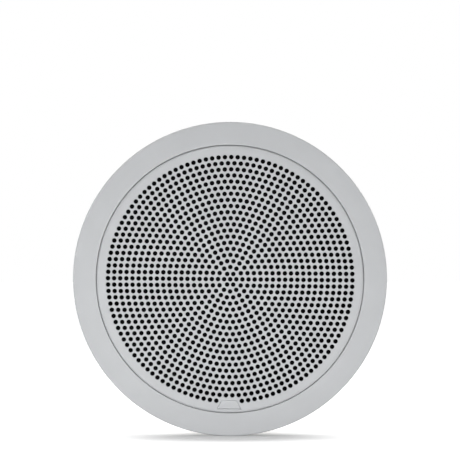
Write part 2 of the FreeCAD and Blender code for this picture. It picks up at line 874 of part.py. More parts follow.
def transformer_strap():
    """Channel that holds the core down, with a foot on each side."""
    inner = core_width / 2 + strap_gap
    outer = inner + strap_thickness
    foot = outer + strap_foot
    top = plate_rear + core_height
    foot_rear = plate_rear + strap_thickness
    corners = [(-foot, plate_rear), (-inner, plate_rear), (-inner, top), (inner, top), (inner, plate_rear),
               (foot, plate_rear), (foot, foot_rear), (outer, foot_rear), (outer, top + strap_thickness),
               (-outer, top + strap_thickness), (-outer, foot_rear), (-foot, foot_rear)]
    side = [Vector(x, y, -core_drop - core_stack / 2) for x, y in corners]
    strap = Part.Face(Part.makePolygon(side + side[:1])).extrude(Vector(0, 0, core_stack))
    return strap.cut([peg(screw_hole_radius, plate_rear - 1, plate_rear + strap_thickness + 1, x, z)
                      for x, z in strap_foot_places()])


def transformer_rivets():
    """Rivets through the strap's feet and the bracket plate."""
    rivets = []
    for x, z in strap_foot_places():
        head = strap_thickness + plate_rear
        rivet = peg(screw_hole_radius - rivet_clearance, plate_front - fuse_depth, head + fuse_depth, x, z)
        rivet = rivet.multiFuse([peg(screw_head_radius, head, head + rivet_head, x, z),
                                 peg(screw_head_radius, plate_front - rivet_head, plate_front, x, z)])
        rivets.append(rivet.removeSplitter())
    return Part.makeCompound(rivets)


def terminal_places():
    middle = (terminal_count - 1) / 2
    return [(k - middle) * terminal_pitch for k in range(terminal_count)]


def terminal_block():
    """Moulded block with one tower for each terminal and a foot between towers."""
    x0, x1 = -terminal_radius - terminal_width / 2, -terminal_radius + terminal_width / 2
    end = terminal_places()[-1] + terminal_tower / 2
    body = block(x0, x1, terminal_front, terminal_front + terminal_base, -end, end)
    towers, cavities = [], []
    for z in terminal_places():
        towers.append(block(x0, x1, terminal_front, terminal_front + terminal_height, z - terminal_tower / 2,
                            z + terminal_tower / 2))
        half = terminal_entry / 2 + terminal_insert_wall
        cavities.append(block(x0 - 1, x1 + 1, terminal_middle - half, terminal_middle + half, z - half,
                              z + half))
        for x in terminal_screw_places():
            cavities.append(peg(terminal_screw_radius + screw_hole_clearance, terminal_middle,
                                terminal_front + terminal_height + 1, x, z))
    holes = [peg(screw_hole_radius, terminal_front - 1, terminal_front + terminal_base + 1, x, z)
             for x, z in terminal_post_places()]
    return body.multiFuse(towers).cut(cavities + holes).removeSplitter()


def terminal_screw_places():
    """X of the two clamping screws of each terminal: the wired side, then the open side."""
    return -terminal_radius + terminal_screw_spread, -terminal_radius - terminal_screw_spread


def terminal_inserts():
    """Brass tubes that take the wire ends, tapped for the clamping screws."""
    x0 = -terminal_radius - terminal_width / 2 + terminal_insert_inset
    x1 = -terminal_radius + terminal_width / 2 - terminal_insert_inset
    outer, inner = terminal_entry / 2 + terminal_insert_wall, terminal_entry / 2
    tubes = []
    for z in terminal_places():
        tube = block(x0, x1, terminal_middle - outer, terminal_middle + outer, z - outer, z + outer)
        bores = [block(x0 - 1, x1 + 1, terminal_middle - inner, terminal_middle + inner,
                       z - inner, z + inner)]
        for x in terminal_screw_places():
            bores.append(peg(terminal_screw_radius, terminal_middle, terminal_middle + terminal_height, x, z))
        tubes.append(tube.cut(bores))
    return Part.makeCompound(tubes)


def terminal_screws():
    """Slotted clamping screws: one down on each transformer lead, one backed off for the supply."""
    screws = []
    for z in terminal_places():
        for x, low, out in zip(terminal_screw_places(), (terminal_floor + 2 * wire_radius, terminal_middle),
                               (terminal_screw_inset + terminal_screw_drop, terminal_screw_inset)):
            rear = terminal_front + terminal_height - out
            slot = block(x - 2 * terminal_screw_radius, x + 2 * terminal_screw_radius,
                         rear - terminal_slot_depth, rear + 1,
                         z - terminal_slot_width / 2, z + terminal_slot_width / 2)
            screws.append(peg(terminal_screw_radius, low, rear, x, z).cut(slot))
    return Part.makeCompound(screws)


def terminal_block_screws():
    seat = terminal_front + terminal_base
    return Part.makeCompound([pan_screw(x, z, seat, screw_head_radius, screw_head_height, screw_radius,
                                        terminal_base + terminal_post_height - 1, -1)
                              for x, z in terminal_post_places()])


def supply_lead(number):
    """Hook-up wire from the transformer's winding to one terminal."""
    z = terminal_places()[number]
    entry_x = -terminal_radius + terminal_width / 2
    entry_y = terminal_floor + wire_radius
    coil_x = -10.0 + 4.0 * number
    coil_y = plate_rear + 0.68 * core_height
    coil_z = -core_drop + core_stack / 2 + core_window - winding_inset
    rise = 2.4 * number
    return wire_run([
        (coil_x, coil_y, coil_z),
        (coil_x, coil_y, coil_z + 3.0 + rise),
        (-core_width / 2 - 0.5, coil_y - 1.0, coil_z + 6.0 + rise),
        (entry_x + 24.5, coil_y - 10.0, 0.42 * z - 21.0),
        (entry_x + 10.5, entry_y + 7.0, 0.85 * z - 4.0),
        (entry_x + 5.0, entry_y, z),
        (-terminal_radius + terminal_screw_spread - 2.0, entry_y, z),
    ], wire_radius)


def driver_lead(side):
    """Hook-up wire from the transformer's winding to a solder tag."""
    tag_x = lug_radius - tag_board_length + tag_length - 0.5 * tag_width
    tag_y = tag_depth() + tag_thickness
    tag_z = side * tag_spacing / 2
    coil_x = 5.5 - 2.5 * side
    coil_y = plate_rear + 0.6 * core_height
    coil_z = -core_drop + core_stack / 2 + core_window - winding_inset
    return wire_run([
        (coil_x, coil_y, coil_z),
        (coil_x, coil_y, coil_z + 4.0 + 1.4 * side),
        (core_width / 2 + 0.5, coil_y - 1.0, coil_z + 7.0 + 1.4 * side),
        (tag_x - 18.5, coil_y - 11.0, 3.0 * side - 21.0),
        (tag_x - 2.5, tag_y + 10.0, tag_z - 6.0),
        (tag_x, tag_y + 4.0, tag_z),
        (tag_x, tag_y, tag_z),
    ], wire_radius)


def all_pieces():
    """Every piece by the name of its file."""
    pieces = {
        "mounting_frame": mounting_frame(),
        "grille": grille(),
        "scrim": scrim(),
        "gasket": gasket(),
        "basket": basket(),
        "surround": surround(),
        "cone": cone(),
        "whizzer": whizzer(),
        "dust_cap": dust_cap(),
        "voice_coil_former": voice_coil_former(),
        "voice_coil": voice_coil(),
        "spider": spider(),
        "top_plate": top_plate(),
        "magnet": magnet(),
        "pole_yoke": pole_yoke(),
        "driver_screws": driver_screws(),
        "tag_board": tag_board(),
        "transformer_bracket": transformer_bracket(),
        "bracket_screws": bracket_screws(),
        "transformer_core": transformer_core(),
        "transformer_bobbin": transformer_bobbin(),
        "transformer_winding": transformer_winding(),
        "transformer_strap": transformer_strap(),
        "transformer_rivets": transformer_rivets(),
        "terminal_block": terminal_block(),
        "terminal_inserts": terminal_inserts(),
        "terminal_screws": terminal_screws(),
        "terminal_block_screws": terminal_block_screws(),
    }
    for number, side in enumerate((-1, 1), 1):
        pieces[f"solder_tag_{number}"] = solder_tag(side)
        pieces[f"tinsel_lead_{number}"] = tinsel_lead(side)
        pieces[f"driver_lead_{number}"] = driver_lead(side)
    for number in range(terminal_count):
        pieces[f"supply_lead_{number + 1}"] = supply_lead(number)
    for number, angle in enumerate(clamp_angles, 1):
        pieces[f"clamp_screw_{number}"] = clamp_screw(angle)
        pieces[f"clamp_retainer_{number}"] = clamp_retainer(angle)
        pieces[f"clamp_dog_{number}"] = clamp_dog(angle)
    return pieces


os.makedirs("parts", exist_ok=True)
for name, shape in all_pieces().items():
    shape.exportStep(f"parts/{name}.step")
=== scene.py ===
import json
import math

import bmesh
import bpy
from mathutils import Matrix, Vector


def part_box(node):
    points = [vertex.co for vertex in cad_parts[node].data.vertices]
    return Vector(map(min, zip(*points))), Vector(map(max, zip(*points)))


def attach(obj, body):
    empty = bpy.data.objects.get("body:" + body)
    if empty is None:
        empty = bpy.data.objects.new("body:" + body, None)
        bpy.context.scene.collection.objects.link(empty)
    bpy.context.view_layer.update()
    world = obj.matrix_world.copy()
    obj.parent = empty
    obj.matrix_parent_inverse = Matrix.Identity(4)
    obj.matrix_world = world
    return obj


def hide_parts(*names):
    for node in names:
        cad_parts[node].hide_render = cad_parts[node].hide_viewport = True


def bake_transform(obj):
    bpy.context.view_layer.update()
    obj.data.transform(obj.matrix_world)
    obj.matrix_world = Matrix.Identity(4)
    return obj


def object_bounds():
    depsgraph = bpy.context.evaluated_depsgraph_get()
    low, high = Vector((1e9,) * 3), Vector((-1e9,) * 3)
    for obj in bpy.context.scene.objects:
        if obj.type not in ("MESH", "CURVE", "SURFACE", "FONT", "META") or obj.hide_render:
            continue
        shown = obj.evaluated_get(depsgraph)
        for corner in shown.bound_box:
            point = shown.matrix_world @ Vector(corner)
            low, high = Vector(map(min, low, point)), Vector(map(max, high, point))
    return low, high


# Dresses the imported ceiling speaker: plastic frame and grille, black basket, zinc and ferrite motor,
# taped transformer, terminal block, hook-up wire and nylon clamp dogs.

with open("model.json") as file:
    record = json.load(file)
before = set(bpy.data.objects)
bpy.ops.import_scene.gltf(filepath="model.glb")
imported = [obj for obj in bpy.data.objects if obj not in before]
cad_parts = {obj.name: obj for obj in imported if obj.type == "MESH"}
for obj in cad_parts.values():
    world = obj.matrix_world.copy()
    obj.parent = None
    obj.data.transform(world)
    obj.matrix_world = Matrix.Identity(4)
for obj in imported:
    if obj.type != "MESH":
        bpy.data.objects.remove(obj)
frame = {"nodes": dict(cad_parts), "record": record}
cad_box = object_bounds()
slot_of = {part["node"]: part["material_slot"] for part in frame["record"]["subparts"]}
body_of_node = {}
for body, nodes in frame["record"]["behaviour"]["bodies"].items():
    for node in nodes:
        body_of_node[node] = body

# Lengths in metres and angles in degrees. Points nearer to each other than SEAM are one.
SEAM = 1e-6
FLANGE_RADIUS = 0.09

# Grille: face, rim, skirt and hooks
GRILLE_RADIUS = 0.07652
GRILLE_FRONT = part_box("grille")[0][1]
GRILLE_THICKNESS = 0.0022
GRILLE_BACK = GRILLE_FRONT + GRILLE_THICKNESS
RIM_START = 0.075
RIM_DEPTH = 0.0008
RIM_STEPS = 6
RIM_SIDES = 180
SKIRT_INNER = 0.0744
SKIRT_OUTER = GRILLE_RADIUS - 0.00002
SKIRT_FRONT = GRILLE_BACK - 0.0002
LEDGE_DEPTH = 0.001
WEB_REAR = 0.007
HOOK_ANGLES = (30, 150, 270)
HOOK_THICKNESS = 0.0014
HOOK_WIDTH = 0.006
HOOK_REAR = WEB_REAR + 0.0015
BARB_FRONT = WEB_REAR + 0.0001
BARB_REACH = 0.0008

# Grille: holes, a little low and turned in the opening, and the badge place with its tray. The holes
# are cut in a face that leans by nine of its sides, so that no two are level.
PATTERN_SHIFT = (0.0001, -0.00018)
PATTERN_TURN = math.radians(-0.52)
PATTERN_LEAN = 2 * math.pi / RIM_SIDES * 9
HOLE_PITCH = 0.0035
HOLE_RADIUS = 0.00134
HOLE_RINGS = 20
HOLE_SIDES = 16
HOLE_EDGE = 0.00006
BADGE_DROP = 0.0719
BADGE_HALF_HEIGHT = 0.0025
BADGE_HALF_TOP = 0.0051
BADGE_HALF_BOTTOM = 0.0071
BADGE_CORNER = 0.0014
BADGE_CORNER_STEPS = 5
BADGE_CLEARING = 4
TRAY_GAP = 0.00002
TRAY_FRONT = GRILLE_FRONT + 0.00003
TRAY_THICKNESS = 0.0016
TRAY_SLOPE = 0.0004
TRAY_DEPTH = 0.0009

# Clamp screws
CLAMP_CIRCLE = 0.0689
CLAMP_ANGLES = (90, 210, 330)
CLAMP_HEAD_REAR = 0.0052
CLAMP_TIP_FRONT = 0.0428
THREAD_FRONT = 0.0045
THREAD_REAR = 0.0448
THREAD_PITCH = 0.0007
THREAD_ROOT = 0.00162
THREAD_CREST = 0.002
THREAD_SIDES = 14

# Driver
MOTOR_SIDES = 144
MOTOR_EDGE = 0.0006
PLATE_BORE = 0.0113
MAGNET_BORE = 0.015
POLE_RADIUS = 0.0096
SURROUND_FLEX = (0.0457, 0.0537)
SPIDER_FLEX = (0.0118, 0.0292)
TAG_PLACES = [(0.0585, 0.0228, side * 0.0045) for side in (-1, 1)]
TAG_SOLDER_RADIUS = 0.0017
TINSEL_PLACES = [(0.0475, 0.0233, side * 0.0045) for side in (-1, 1)]
TINSEL_SOLDER_RADIUS = 0.0011
SOLDER_SIDES = 24

# Floor, with the middle of its painted contact shadow in front of the grille
FLOOR_HEIGHT = cad_box[0][2]
FLOOR_WIDTH = 12
PAINTED_SHADOW_DEPTH = GRILLE_FRONT - 0.013
PAINTED_SHADOW_HALF_WIDTH = 0.050
PAINTED_SHADOW_HALF_DEPTH = 0.040

# Camera, in millimetres, and the photograph, in pixels: its width, the flange's radius in it, and
# where its middle lies from the speaker's axis
LENS = 280
SENSOR_WIDTH = 36
PHOTO_WIDTH = 460
FLANGE_PIXELS = 157.18
MIDDLE_ACROSS = -0.03
MIDDLE_UP = 48.94


# Finishes

def start_finish(name, colour, roughness, metallic=0.0):
    """A material with its shader and the object's own coordinates."""
    material = bpy.data.materials.new(name)
    material.use_nodes = True
    tree = material.node_tree
    shader = tree.nodes["Principled BSDF"]
    shader.inputs["Base Color"].default_value = (*colour, 1)
    shader.inputs["Roughness"].default_value = roughness
    shader.inputs["Metallic"].default_value = metallic
    place = tree.nodes.new("ShaderNodeTexCoord").outputs["Object"]
    return material, tree, shader, place


def noise(tree, place, scale, detail=2.0, stretch=(1, 1, 1)):
    mapping = tree.nodes.new("ShaderNodeMapping")
    mapping.inputs["Scale"].default_value = stretch
    tree.links.new(place, mapping.inputs["Vector"])
    texture = tree.nodes.new("ShaderNodeTexNoise")
    texture.inputs["Scale"].default_value = scale
    texture.inputs["Detail"].default_value = detail
    tree.links.new(mapping.outputs["Vector"], texture.inputs["Vector"])
    return texture.outputs["Fac"]


def bands(tree, place, scale, direction, turn=(0, 0, 0), distortion=0.0):
    """Straight ridges across one axis."""
    mapping = tree.nodes.new("ShaderNodeMapping")
    mapping.inputs["Rotation"].default_value = turn
    tree.links.new(place, mapping.inputs["Vector"])
    texture = tree.nodes.new("ShaderNodeTexWave")
    texture.bands_direction = direction
    texture.inputs["Scale"].default_value = scale
    texture.inputs["Distortion"].default_value = distortion
    tree.links.new(mapping.outputs["Vector"], texture.inputs["Vector"])
    return texture.outputs["Fac"]


def rings(tree, place, scale, distortion=0.0):
    """Ridges round the speaker axis, as a lathe leaves."""
    texture = tree.nodes.new("ShaderNodeTexWave")
    texture.wave_type = "RINGS"
    texture.rings_direction = "Y"
    texture.inputs["Scale"].default_value = scale
    texture.inputs["Distortion"].default_value = distortion
    tree.links.new(place, texture.inputs["Vector"])
    return texture.outputs["Fac"]


def spread(tree, height, low, high, socket):
    """A height from 0 to 1 spread between two values or colours on a socket."""
    ramp = tree.nodes.new("ShaderNodeValToRGB")
    first, last = ramp.color_ramp.elements
    first.position, last.position = 0.3, 0.7
    first.color = (*low, 1) if isinstance(low, tuple) else (low, low, low, 1)
    last.color = (*high, 1) if isinstance(high, tuple) else (high, high, high, 1)
    tree.links.new(height, ramp.inputs["Fac"])
    tree.links.new(ramp.outputs["Color"], socket)


def shade(colour, share):
    return tuple(min(1.0, part * share) for part in colour)


def raise_grain(tree, shader, height, strength, depth):
    """Bump from a height, chained on any bump that is already there."""
    bump = tree.nodes.new("ShaderNodeBump")
    bump.inputs["Strength"].default_value = strength
    bump.inputs["Distance"].default_value = depth
    tree.links.new(height, bump.inputs["Height"])
    before = shader.inputs["Normal"].links
    if before:
        tree.links.new(before[0].from_socket, bump.inputs["Normal"])
    tree.links.new(bump.outputs["Normal"], shader.inputs["Normal"])


def moulded_plastic(name, colour, roughness=0.52, grain=3200, strength=0.16):
    """Spark-eroded mould texture with a faint cloudiness."""
    material, tree, shader, place = start_finish(name, colour, roughness)
    spread(tree, noise(tree, place, 60, 3), shade(colour, 0.985), shade(colour, 1.015),
           shader.inputs["Base Color"])
    spread(tree, noise(tree, place, 900), roughness - 0.05, roughness + 0.06, shader.inputs["Roughness"])
    raise_grain(tree, shader, noise(tree, place, grain), strength, 0.00012)
    return material


def nylon(name, colour):
    """Glass-filled nylon with fine streaks along the flow."""
    material, tree, shader, place = start_finish(name, colour, 0.42)
    spread(tree, noise(tree, place, 500, 4, (1, 6, 1)), shade(colour, 0.9), shade(colour, 1.06),
           shader.inputs["Base Color"])
    raise_grain(tree, shader, noise(tree, place, 1500, 3), 0.1, 0.0001)
    return material


def powder_coat(name, colour):
    material, tree, shader, place = start_finish(name, colour, 0.42)
    spread(tree, noise(tree, place, 700), 0.36, 0.5, shader.inputs["Roughness"])
    spread(tree, noise(tree, place, 250, 4), shade(colour, 0.85), shade(colour, 1.25),
           shader.inputs["Base Color"])
    raise_grain(tree, shader, noise(tree, place, 1300), 0.22, 0.0002)
    return material


def paper_pulp(name, colour):
    """Pressed pulp with short fibres and a felt of small pits."""
    material, tree, shader, place = start_finish(name, colour, 0.92)
    spread(tree, noise(tree, place, 420, 8), shade(colour, 0.6), shade(colour, 1.5),
           shader.inputs["Base Color"])
    raise_grain(tree, shader, noise(tree, place, 900, 6, (1, 1, 3)), 0.35, 0.0004)
    raise_grain(tree, shader, noise(tree, place, 2600, 2, (3, 1, 1)), 0.25, 0.0002)
    return material


def woven_cloth(name, colour, threads):
    """Plain weave across X and Z."""
    material, tree, shader, place = start_finish(name, colour, 0.85)
    warp = bands(tree, place, threads, "X")
    weft = bands(tree, place, threads, "Z")
    spread(tree, noise(tree, place, 300, 4), shade(colour, 0.75), shade(colour, 1.2),
           shader.inputs["Base Color"])
    raise_grain(tree, shader, warp, 0.35, 0.0003)
    raise_grain(tree, shader, weft, 0.35, 0.0003)
    shader.inputs["Specular IOR Level"].default_value = 0.05
    return material


def soft_rubber(name, colour, roughness):
    material, tree, shader, place = start_finish(name, colour, roughness)
    spread(tree, noise(tree, place, 200, 3), shade(colour, 0.8), shade(colour, 1.3),
           shader.inputs["Base Color"])
    raise_grain(tree, shader, noise(tree, place, 1800, 3), 0.15, 0.0002)
    return material


def zinc_plate(name, colour, roughness=0.3):
    """Bright zinc over pressed or turned steel: cloudy, with a faint blue and yellow cast."""
    material, tree, shader, place = start_finish(name, colour, roughness, 1.0)
    warm = (colour[0] * 1.03, colour[1], colour[2] * 0.9)
    cool = (colour[0] * 0.93, colour[1] * 0.98, colour[2] * 1.06)
    spread(tree, noise(tree, place, 90, 3), cool, warm, shader.inputs["Base Color"])
    spread(tree, noise(tree, place, 350, 4), roughness - 0.08, roughness + 0.14, shader.inputs["Roughness"])
    raise_grain(tree, shader, noise(tree, place, 1400, 3), 0.06, 0.0001)
    return material


def turned_zinc(name, colour):
    material = zinc_plate(name, colour, 0.32)
    tree = material.node_tree
    shader = tree.nodes["Principled BSDF"]
    place = tree.nodes.new("ShaderNodeTexCoord").outputs["Object"]
    raise_grain(tree, shader, rings(tree, place, 700, 0.5), 0.12, 0.0001)
    return material


def ferrite(name, colour):
    """Ground ceramic magnet: near black, matt, with fine grinding marks."""
    material, tree, shader, place = start_finish(name, colour, 0.55)
    spread(tree, noise(tree, place, 260, 6), shade(colour, 0.7), shade(colour, 1.4),
           shader.inputs["Base Color"])
    spread(tree, noise(tree, place, 600, 3), 0.42, 0.66, shader.inputs["Roughness"])
    raise_grain(tree, shader, noise(tree, place, 1100, 5, (1, 4, 1)), 0.18, 0.0002)
    return material


def wound_copper(name, colour):
    material, tree, shader, place = start_finish(name, colour, 0.28, 1.0)
    turns = bands(tree, place, 2000, "Y")
    # Darker between the turns: painted shade in the grooves, over the bump that shapes them
    spread(tree, turns, shade(colour, 0.55), colour, shader.inputs["Base Color"])
    raise_grain(tree, shader, turns, 0.6, 0.0001)
    return material


def bright_metal(name, colour, roughness):
    material, tree, shader, place = start_finish(name, colour, roughness, 1.0)
    spread(tree, noise(tree, place, 400, 4), shade(colour, 0.82), shade(colour, 1.05),
           shader.inputs["Base Color"])
    raise_grain(tree, shader, noise(tree, place, 1500, 2), 0.08, 0.0001)
    return material


def paper_laminate(name, colour):
    """Punched brown tag board with visible fibres."""
    material, tree, shader, place = start_finish(name, colour, 0.5)
    spread(tree, noise(tree, place, 500, 6, (1, 1, 5)), shade(colour, 0.65), shade(colour, 1.35),
           shader.inputs["Base Color"])
    raise_grain(tree, shader, noise(tree, place, 1800, 3), 0.12, 0.0001)
    return material


def braided_tinsel(name, colour):
    material, tree, shader, place = start_finish(name, colour, 0.4, 0.6)
    lay = bands(tree, place, 900, "X", (0, 0.7, 0.5))
    # Darker in the grooves between the strands than on their crests: painted shade, over the bump that
    # shapes them
    spread(tree, lay, shade(colour, 0.5), shade(colour, 1.2), shader.inputs["Base Color"])
    raise_grain(tree, shader, lay, 0.6, 0.0002)
    return material


def varnished_iron(name, colour):
    """Stamped transformer sheets under clear varnish, the sheets' edges showing as fine lines."""
    material, tree, shader, place = start_finish(name, colour, 0.38, 0.7)
    sheets = bands(tree, place, 640, "Z")
    spread(tree, noise(tree, place, 180, 5), shade(colour, 0.7), shade(colour, 1.3),
           shader.inputs["Base Color"])
    raise_grain(tree, shader, sheets, 0.3, 0.0002)
    raise_grain(tree, shader, noise(tree, place, 800, 3), 0.1, 0.0002)
    return material


def polyester_tape(name, colour):
    """Lapped yellow tape: glossy, with the edges of its turns showing."""
    material, tree, shader, place = start_finish(name, colour, 0.24)
    laps = bands(tree, place, 55, "Y", (0.04, 0, 0), 0.4)
    spread(tree, noise(tree, place, 120, 3), shade(colour, 0.85), shade(colour, 1.08),
           shader.inputs["Base Color"])
    raise_grain(tree, shader, laps, 0.35, 0.0006)
    raise_grain(tree, shader, noise(tree, place, 260, 2), 0.1, 0.0006)
    shader.inputs["Coat Weight"].default_value = 0.3
    return material


def wire_sheath(name, colour):
    material, tree, shader, place = start_finish(name, colour, 0.36)
    spread(tree, noise(tree, place, 300, 3), shade(colour, 0.85), shade(colour, 1.12),
           shader.inputs["Base Color"])
    raise_grain(tree, shader, noise(tree, place, 900, 2), 0.08, 0.0001)
    return material


PALE_GREY = (0.552, 0.564, 0.578)
finishes = {
    "frame_plastic": moulded_plastic("frame plastic", PALE_GREY),
    "grille_plastic": moulded_plastic("grille plastic", shade(PALE_GREY, 1.02)),
    # The scrim is black cloth, made darker than cloth is as painted shade seen through the grille's holes
    "scrim_cloth": woven_cloth("scrim cloth", (0.0012, 0.0012, 0.0013), 1400),
    "gasket_foam": soft_rubber("gasket foam", (0.035, 0.035, 0.037), 0.9),
    "basket_steel": powder_coat("basket powder coat", (0.014, 0.014, 0.015)),
    "cone_paper": paper_pulp("cone paper", (0.03, 0.029, 0.028)),
    "whizzer_paper": paper_pulp("whizzer paper", (0.11, 0.10, 0.085)),
    "surround_rubber": soft_rubber("surround rubber", (0.018, 0.018, 0.019), 0.48),
    "former_foil": bright_metal("former foil", (0.75, 0.75, 0.76), 0.3),
    "coil_copper": wound_copper("voice coil copper", (0.72, 0.32, 0.16)),
    "spider_cloth": woven_cloth("spider cloth", (0.42, 0.27, 0.09), 700),
    "motor_steel": turned_zinc("motor zinc", (0.40, 0.40, 0.392)),
    "magnet_ferrite": ferrite("magnet ferrite", (0.045, 0.045, 0.048)),
    "screw_steel": zinc_plate("screw zinc", (0.46, 0.46, 0.45), 0.26),
    "tag_phenolic": paper_laminate("tag board laminate", (0.20, 0.095, 0.035)),
    "tag_brass": bright_metal("tinned tags", (0.78, 0.75, 0.68), 0.3),
    "tinsel": braided_tinsel("tinsel braid", (0.45, 0.30, 0.16)),
    "bracket_steel": zinc_plate("bracket zinc", (0.37, 0.37, 0.365), 0.34),
    "core_iron": varnished_iron("core sheets", (0.15, 0.15, 0.155)),
    "bobbin_nylon": nylon("bobbin nylon", (0.70, 0.68, 0.62)),
    "winding_tape": polyester_tape("winding tape", (0.80, 0.56, 0.05)),
    "terminal_plastic": nylon("terminal nylon", (0.76, 0.75, 0.71)),
    "terminal_brass": bright_metal("terminal brass", (0.78, 0.60, 0.30), 0.32),
    "wire_black": wire_sheath("black wire", (0.02, 0.02, 0.022)),
    "wire_white": wire_sheath("white wire", (0.72, 0.72, 0.70)),
    "wire_red": wire_sheath("red wire", (0.52, 0.028, 0.022)),
    "dog_nylon": nylon("dog nylon", (0.60, 0.61, 0.62)),
}
solder_finish = bright_metal("solder", (0.70, 0.70, 0.71), 0.22)


# Modelling helpers

def take(piece):
    """Make a piece the only one selected, and active."""
    bpy.ops.object.select_all(action="DESELECT")
    piece.select_set(True)
    bpy.context.view_layer.objects.active = piece


def open_mesh(piece):
    """Go into edit mode on one piece, with all of it selected."""
    take(piece)
    bpy.ops.object.mode_set(mode="EDIT")
    bpy.ops.mesh.select_all(action="SELECT")


def face_outwards():
    """In edit mode, turn all faces outwards and leave the mode."""
    bpy.ops.mesh.select_all(action="SELECT")
    bpy.ops.mesh.normals_make_consistent(inside=False)
    bpy.ops.object.mode_set(mode="OBJECT")


def set_place(piece):
    """Put a piece's place, turn and size into its mesh."""
    take(piece)
    bpy.ops.object.transform_apply(location=True, rotation=True, scale=True)


def shade_smooth(piece, angle):
    """Shade smooth where faces meet at less than an angle in degrees."""
    take(piece)
    bpy.ops.object.shade_smooth_by_angle(angle=math.radians(angle))


def pick_edges(piece, test):
    """In edit mode, select only the edges that pass a test."""
    bpy.ops.mesh.select_mode(type="EDGE")
    bpy.ops.mesh.select_all(action="DESELECT")
    mesh = bmesh.from_edit_mesh(piece.data)
    for edge in mesh.edges:
        if test(edge):
            edge.select_set(True)
    bmesh.update_edit_mesh(piece.data)


def pick_faces(piece, test):
    """In edit mode, select only the faces that pass a test."""
    bpy.ops.mesh.select_mode(type="FACE")
    bpy.ops.mesh.select_all(action="DESELECT")
    mesh = bmesh.from_edit_mesh(piece.data)
    for face in mesh.faces:
        if test(face):
            face.select_set(True)
    bmesh.update_edit_mesh(piece.data)


def paint(piece, finish):
    piece.data.materials.clear()
    piece.data.materials.append(finish)


def join(pieces, name):
    """Join pieces into the first one."""
    bpy.ops.object.select_all(action="DESELECT")
    for piece in pieces:
        piece.select_set(True)
    bpy.context.view_layer.objects.active = pieces[0]
    bpy.ops.object.join()
    pieces[0].name = name
    return pieces[0]


def copy_of(piece, name):
    """A copy of a piece, with a mesh of its own."""
    copy = piece.copy()
    copy.data = piece.data.copy()
    copy.name = name
    bpy.context.collection.objects.link(copy)
    return copy


def smooth_copy(node, angle=38):
    """A copy of a CAD node with its triangles merged and its curved faces shaded smooth."""
    mesh = frame["nodes"][node].data.copy()
    piece = bpy.data.objects.new(f"{node}_skin", mesh)
    bpy.context.collection.objects.link(piece)
    open_mesh(piece)
    bpy.ops.mesh.remove_doubles(threshold=SEAM)
    bpy.ops.object.mode_set(mode="OBJECT")
    shade_smooth(piece, angle)
    # Wide faces keep their own direction, so that a small rounded edge doesn't shade them
    weigh = piece.modifiers.new("weigh", "WEIGHTED_NORMAL")
    weigh.keep_sharp = True
    bpy.ops.object.modifier_apply(modifier=weigh.name)
    return piece


def stands_for(piece, node):
    """Paint a piece with its node's finish, and show it in the node's place."""
    paint(piece, finishes[slot_of[node]])
    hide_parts(node)


def dress(piece, node):
    """Show a piece in its node's place, moving with the node's body."""
    stands_for(piece, node)
    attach(piece, body_of_node[node])


def drawn_outline(points, closed=True):
    """A loop of edges through points, or a line of them where it isn't closed."""
    bpy.ops.object.select_all(action="DESELECT")
    bpy.ops.mesh.primitive_circle_add(vertices=len(points))
    piece = bpy.context.object
    for vertex, point in zip(piece.data.vertices, points):
        vertex.co = point
    if not closed:
        bpy.ops.object.mode_set(mode="EDIT")
        pick_edges(piece, lambda edge: {v.index for v in edge.verts} == {0, len(points) - 1})
        bpy.ops.mesh.delete(type="EDGE")
        bpy.ops.object.mode_set(mode="OBJECT")
    return piece


def spun_ring(name, outline, steps, closed=True):
    """An outline of (radius, depth) points, spun round the speaker axis."""
    piece = drawn_outline([(radius, depth, 0) for radius, depth in outline], closed)
    piece.name = name
    open_mesh(piece)
    bpy.ops.mesh.spin(steps=steps, angle=2 * math.pi, center=(0, 0, 0), axis=(0, 1, 0))
    bpy.ops.mesh.select_all(action="SELECT")
    bpy.ops.mesh.remove_doubles(threshold=SEAM)
    face_outwards()
    return piece


# Camera, floor and light

def set_camera():
    """Straight on, with the speaker as low in the frame as the photograph has it."""
    data = bpy.data.cameras.new("camera")
    data.lens = LENS
    data.sensor_width = SENSOR_WIDTH
    camera = bpy.data.objects.new("camera", data)
    bpy.context.collection.objects.link(camera)
    pixel = FLANGE_RADIUS / FLANGE_PIXELS
    distance = LENS / SENSOR_WIDTH * PHOTO_WIDTH * pixel
    camera.location = (MIDDLE_ACROSS * pixel, GRILLE_FRONT - distance, MIDDLE_UP * pixel)
    camera.rotation_euler = (math.pi / 2, 0, 0)
    bpy.context.scene.camera = camera


def grown_from_speaker(tree, place, stretch, reach, levels):
    """A level that grows smoothly with the distance, on a stretched floor, from the speaker's foot."""
    mapping = tree.nodes.new("ShaderNodeMapping")
    mapping.inputs["Scale"].default_value = stretch
    tree.links.new(place, mapping.inputs["Vector"])
    distance = tree.nodes.new("ShaderNodeVectorMath")
    distance.operation = "LENGTH"
    tree.links.new(mapping.outputs["Vector"], distance.inputs[0])
    level = tree.nodes.new("ShaderNodeMapRange")
    level.interpolation_type = "SMOOTHSTEP"
    level.inputs["From Min"].default_value, level.inputs["From Max"].default_value = reach
    level.inputs["To Min"].default_value, level.inputs["To Max"].default_value = levels
    tree.links.new(distance.outputs["Value"], level.inputs["Value"])
    return level.outputs["Result"]


